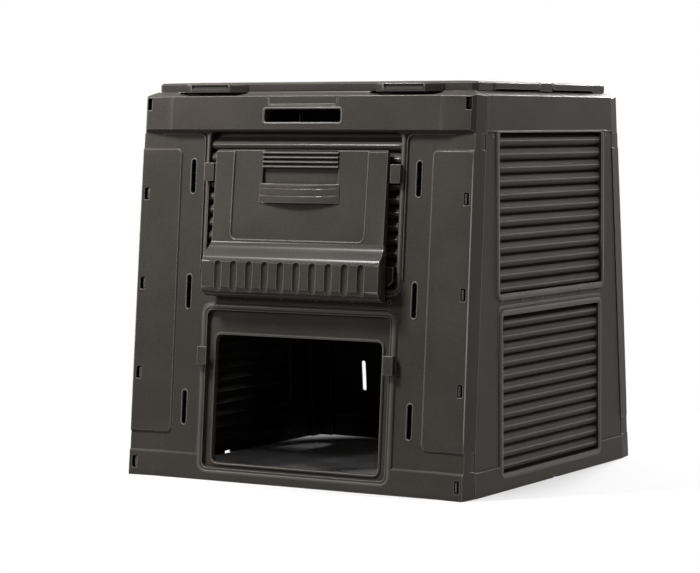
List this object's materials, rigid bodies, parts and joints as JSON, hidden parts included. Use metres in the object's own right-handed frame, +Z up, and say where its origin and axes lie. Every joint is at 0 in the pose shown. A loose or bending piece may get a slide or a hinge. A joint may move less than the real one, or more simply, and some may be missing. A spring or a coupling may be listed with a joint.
{
  "type": "garden compost bin",
  "caption": "Square moulded plastic compost bin with sloping louvred walls, sliding lift-up doors at the foot and a low lid of hinged flaps with finger grips.",
  "frame": {"origin": "on the ground, under the middle of the overall box with the front door raised and the rear door down", "axes": "+Z up, the front with the raised door faces -Y, +X to its right as seen from the front"},
  "size_m": [0.788, 0.8186, 0.8065],
  "materials": {
    "moulded_plastic": "fine grained, semi-matt dark grey-brown",
    "hinge_steel": "plain drawn rod"
  },
  "bodies": {
    "shell": {"front_wall": "moulded_plastic", "rear_wall": "moulded_plastic", "left_wall": "moulded_plastic", "right_wall": "moulded_plastic", "lid_bar": "moulded_plastic", "front_hinge_rod": "hinge_steel", "rear_hinge_rod": "hinge_steel"},
    "front_door": {"front_door": "moulded_plastic"},
    "rear_door": {"rear_door": "moulded_plastic"},
    "front_flap": {"front_lid": "moulded_plastic"},
    "rear_flap": {"rear_lid": "moulded_plastic"}
  },
  "joints": [
    {"name": "front_door_slide", "type": "slide", "parent": "shell", "child": "front_door", "axis": [0, 0.0815, 0.9967], "range_m": [-0.3732, 0]},
    {"name": "rear_door_slide", "type": "slide", "parent": "shell", "child": "rear_door", "axis": [0, -0.0815, 0.9967], "range_m": [0, 0.3732]},
    {"name": "front_lid_hinge", "type": "hinge", "parent": "shell", "child": "front_flap", "pos_m": [0, -0.0532, 0.7968], "axis": [-1, 0, 0], "range_deg": [0, 95]},
    {"name": "rear_lid_hinge", "type": "hinge", "parent": "shell", "child": "rear_flap", "pos_m": [0, 0.0228, 0.7968], "axis": [1, 0, 0], "range_deg": [0, 95]}
  ]
}
